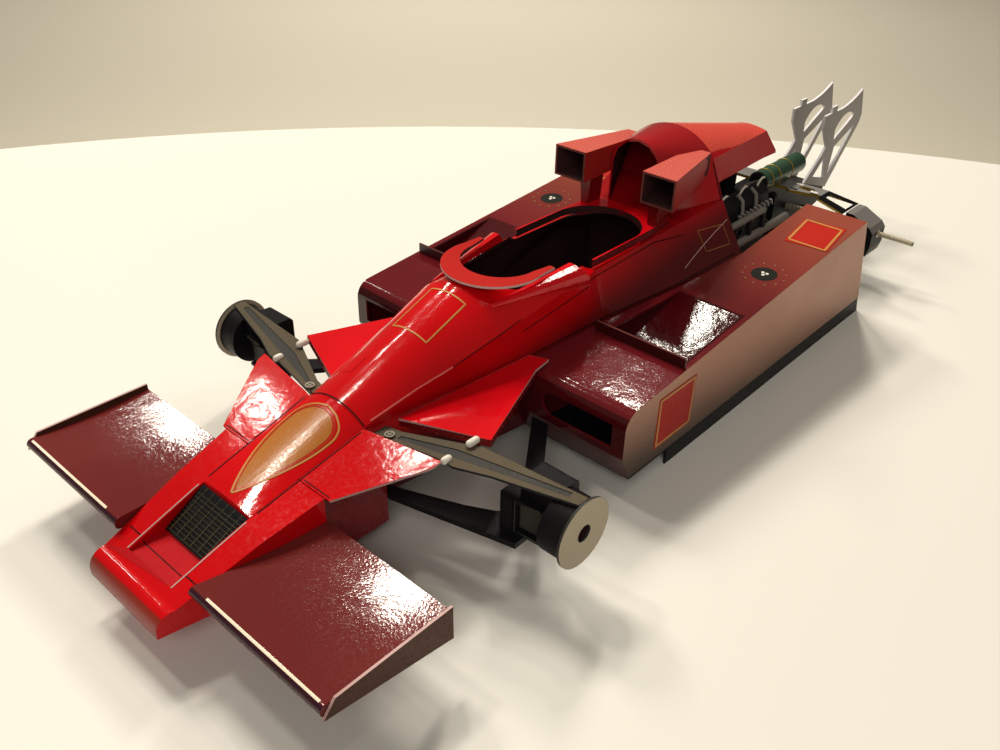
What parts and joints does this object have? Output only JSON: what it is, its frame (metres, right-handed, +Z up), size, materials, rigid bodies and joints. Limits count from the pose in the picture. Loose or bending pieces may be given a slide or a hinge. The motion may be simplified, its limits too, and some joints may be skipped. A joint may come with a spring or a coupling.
{
  "type": "card model of an open wheel racing car",
  "caption": "Unfinished folded-card model of an open wheel racing car: shovel nose, open cockpit, long side pods and open engine, without road wheels or rear wing.",
  "frame": {"origin": "centre of the bounding box's base, on the table the skirts stand on", "axes": "+X forward to the nose, +Y to the car's left, +Z up"},
  "size_m": [0.1848, 0.0718, 0.038],
  "materials": {
    "red_card": "gloss",
    "crimson_card": "gloss",
    "maroon_card": "gloss",
    "mauve_card": "satin",
    "black_card": "satin",
    "grey_card": "satin",
    "white_card": "satin",
    "green_card": "satin",
    "axle_wire": "satin"
  },
  "bodies": {
    "root": {"air_scoop_left": "red_card", "air_scoop_right": "red_card", "arm_bosses": "white_card", "arm_fairing_left": "red_card", "arm_fairing_right": "red_card", "canister": "green_card", "chassis_box": "crimson_card", "cockpit_surround": "red_card", "engine_block": "black_card", "exhaust_pipes": "grey_card", "exit_trays": "maroon_card", "floor_pan": "black_card", "front_wing_left": "maroon_card", "front_wing_right": "maroon_card", "gearbox": "black_card", "hoop_cover": "red_card", "hub_disc_left": "grey_card", "hub_disc_right": "grey_card", "lower_arm_left": "black_card", "lower_arm_right": "black_card", "nose_deck": "red_card", "nose_grille": "black_card", "nose_shell": "red_card", "nose_spine": "red_card", "pod_flaps": "maroon_card", "rear_axle": "axle_wire", "rear_beam": "grey_card", "rear_cover": "red_card", "rear_lower_arms": "black_card", "rear_upper_arms": "black_card", "rear_uprights": "black_card", "scoop_brackets": "red_card", "screen_fairings": "red_card", "side_pod_left": "maroon_card", "side_pod_right": "maroon_card", "side_skirts": "black_card", "tub": "red_card", "upper_arm_left": "grey_card", "upper_arm_right": "grey_card", "upright_left": "black_card", "upright_right": "black_card", "windscreen_lip": "red_card", "wing_end_plates": "mauve_card", "wing_post_left": "grey_card", "wing_post_right": "grey_card"}
  },
  "joints": []
}
